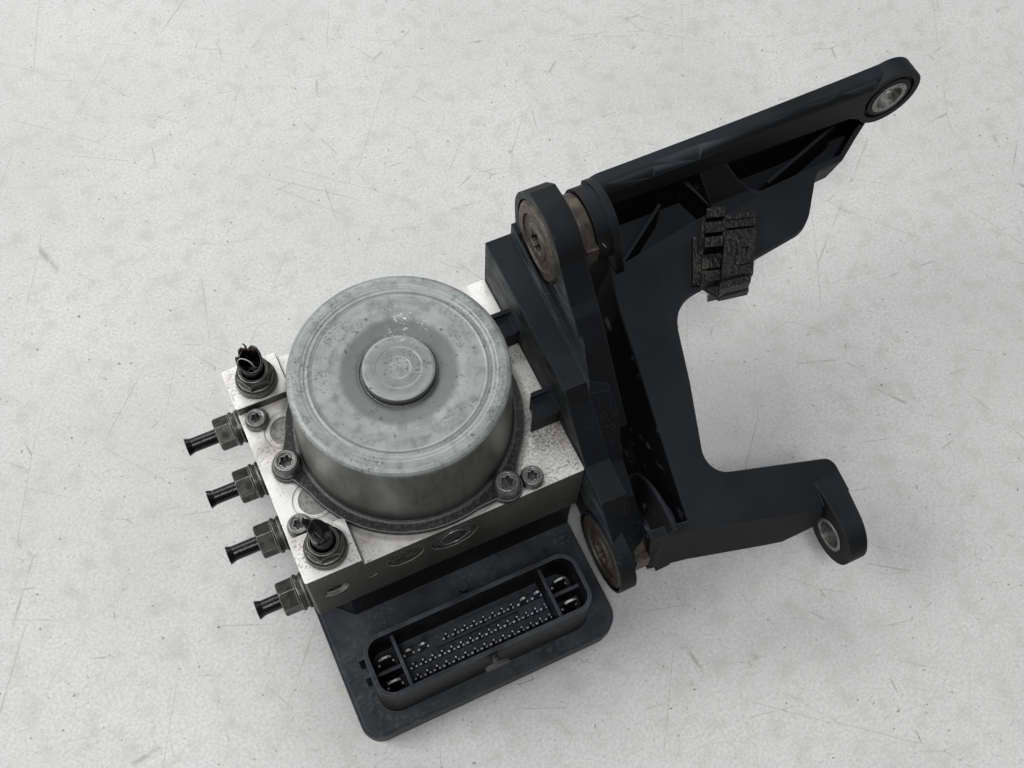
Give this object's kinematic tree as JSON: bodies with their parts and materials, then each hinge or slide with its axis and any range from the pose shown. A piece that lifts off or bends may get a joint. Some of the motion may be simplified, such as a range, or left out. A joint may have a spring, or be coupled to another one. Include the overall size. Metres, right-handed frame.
{
  "type": "abs brake module",
  "caption": "Brake pressure control module: aluminium valve block with round pump motor, cut pipe stubs, flat control unit with open connector, and rubber-mounted bracket.",
  "frame": {"origin": "pump motor's axis on the flat floor side of the control unit's cover", "axes": "+Z along the motor's axis, from the control unit to the motor; +X from the wheel pipe ports to the bracket; +Y from the connector to the back"},
  "size_m": [0.2904, 0.146, 0.1184],
  "materials": {
    "block_aluminium": "machined, slightly stained",
    "zinc_steel": "zinc-nickel coated, dull",
    "screw_steel": "zinc-coated",
    "nut_steel": "zinc-nickel coated, dull",
    "pipe_coating": "black plastic-coated steel pipe",
    "housing_plastic": "fine matt",
    "bracket_plastic": "fine matt, glass filled",
    "seal_grey": "cast sealing compound",
    "pin_tin": "tin plated",
    "bolt_steel": "zinc coated, slightly rusty",
    "yellow_zinc": "yellow zinc",
    "rubber_black": "matt",
    "bearing_steel": "polished",
    "shaft_steel": "ground",
    "magnet_ferrite": "matt",
    "core_steel": "laminated",
    "copper": "enamelled",
    "carbon": "matt",
    "board_green": "lacquered",
    "clip_plastic": "dirty, broken"
  },
  "bodies": {
    "module": {"hydraulic_block": "block_aluminium", "motor_can": "zinc_steel", "motor_screws": "screw_steel", "ecu_screws": "screw_steel", "top_bore_plugs": "block_aluminium", "pump_plugs": "screw_steel", "damper_plugs": "block_aluminium", "wheel_pipe_nuts": "nut_steel", "wheel_pipe_stubs": "pipe_coating", "master_pipe_nuts": "nut_steel", "master_stub_front": "pipe_coating", "master_stub_back": "pipe_coating", "ecu_frame": "housing_plastic", "ecu_cover": "housing_plastic", "connector_seal": "seal_grey", "signal_pins": "pin_tin", "power_pins": "pin_tin", "inner_carrier": "bracket_plastic", "isolator_bolts": "bolt_steel", "isolator_spacers": "yellow_zinc", "isolator_rubbers": "rubber_black", "outer_bracket": "bracket_plastic", "eye_sleeve": "shaft_steel", "ear_sleeve": "shaft_steel", "cable_clip": "clip_plastic", "motor_magnets": "magnet_ferrite", "rear_bearing": "bearing_steel", "front_bearing": "bearing_steel", "brush_plate": "housing_plastic", "carbon_brushes": "carbon", "pump_pistons": "shaft_steel", "pump_springs": "shaft_steel", "accumulator_spring_front": "shaft_steel", "accumulator_spring_back": "shaft_steel", "accumulator_caps": "screw_steel", "valve_cartridges": "shaft_steel", "solenoid_coils": "copper", "circuit_board": "board_green", "ecu_gasket": "rubber_black"},
    "motor_rotor": {"rotor_shaft": "shaft_steel", "armature_core": "core_steel", "armature_windings": "copper", "commutator": "copper", "eccentric_ring": "bearing_steel"},
    "accumulator_front": {"accumulator_piston_front": "block_aluminium"},
    "accumulator_back": {"accumulator_piston_back": "block_aluminium"}
  },
  "joints": [
    {"name": "motor_spin", "type": "hinge", "parent": "module", "child": "motor_rotor", "pos_m": [0, 0, 0.08], "axis": [0, 0, 1], "continuous": true},
    {"name": "accumulator_slide_front", "type": "slide", "parent": "module", "child": "accumulator_front", "axis": [1, 0, 0], "range_m": [0, 0.01], "stiffness_N_per_m": 2000, "springref_m": -0.02, "deforming": ["accumulator_spring_front"]},
    {"name": "accumulator_slide_back", "type": "slide", "parent": "module", "child": "accumulator_back", "axis": [1, 0, 0], "range_m": [0, 0.01], "stiffness_N_per_m": 2000, "springref_m": -0.02, "deforming": ["accumulator_spring_back"]}
  ]
}
